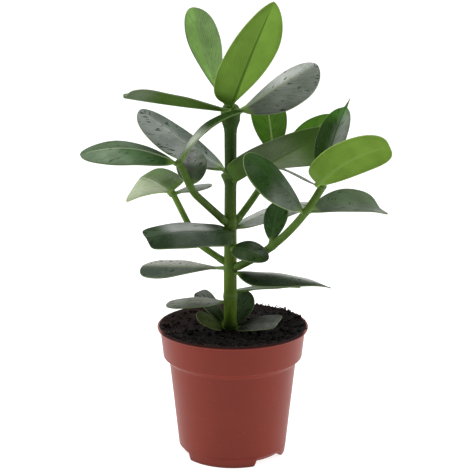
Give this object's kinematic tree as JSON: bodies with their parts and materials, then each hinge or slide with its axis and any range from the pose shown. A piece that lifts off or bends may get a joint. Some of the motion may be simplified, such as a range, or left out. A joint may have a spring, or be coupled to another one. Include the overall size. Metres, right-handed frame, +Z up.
{
  "type": "potted clusia",
  "caption": "Young potted clusia: an upright stem with side shoots and thick paddle-shaped leaves in opposite pairs, in soil in a round terracotta-coloured plastic nursery pot.",
  "frame": {"origin": "middle of the pot's underside, on the pot's axis", "axes": "+Z up along the pot's axis, the plant's front faces -Y"},
  "size_m": [0.2305, 0.1481, 0.3598],
  "materials": {
    "pot": "satin",
    "soil": "rough",
    "main_stem": "satin",
    "side_shoot": "satin",
    "leaf": "satin",
    "mid_green_leaf": "satin",
    "young_leaf": "satin"
  },
  "bodies": {
    "root": {"leaf_1_left": "leaf", "leaf_1_right": "leaf", "leaf_2_left": "leaf", "leaf_2_right": "mid_green_leaf", "leaf_3_left": "leaf", "leaf_3_right": "leaf", "leaf_4_left": "leaf", "leaf_4_right": "leaf", "leaf_5_left": "leaf", "leaf_5_right": "leaf", "leaf_6_left": "leaf", "leaf_6_right": "leaf", "leaf_7_left": "leaf", "leaf_7_right": "leaf", "leaf_bl_left": "young_leaf", "leaf_bl_right": "leaf", "leaf_br_left": "mid_green_leaf", "leaf_br_low": "leaf", "leaf_br_right": "mid_green_leaf", "leaf_crown_back": "mid_green_leaf", "leaf_crown_front": "young_leaf", "leaf_fl_back": "leaf", "leaf_fl_left": "mid_green_leaf", "leaf_fl_right": "mid_green_leaf", "leaf_fr_left": "leaf", "leaf_fr_right": "leaf", "leaf_fr_small": "leaf", "leaf_fr_top_back": "leaf", "leaf_fr_top_front": "young_leaf", "leaf_stem_small": "leaf", "main_stem": "main_stem", "pot": "pot", "side_shoot_back_left": "side_shoot", "side_shoot_back_right": "side_shoot", "side_shoot_front_left": "side_shoot", "side_shoot_front_right": "side_shoot", "soil": "soil"}
  },
  "joints": []
}
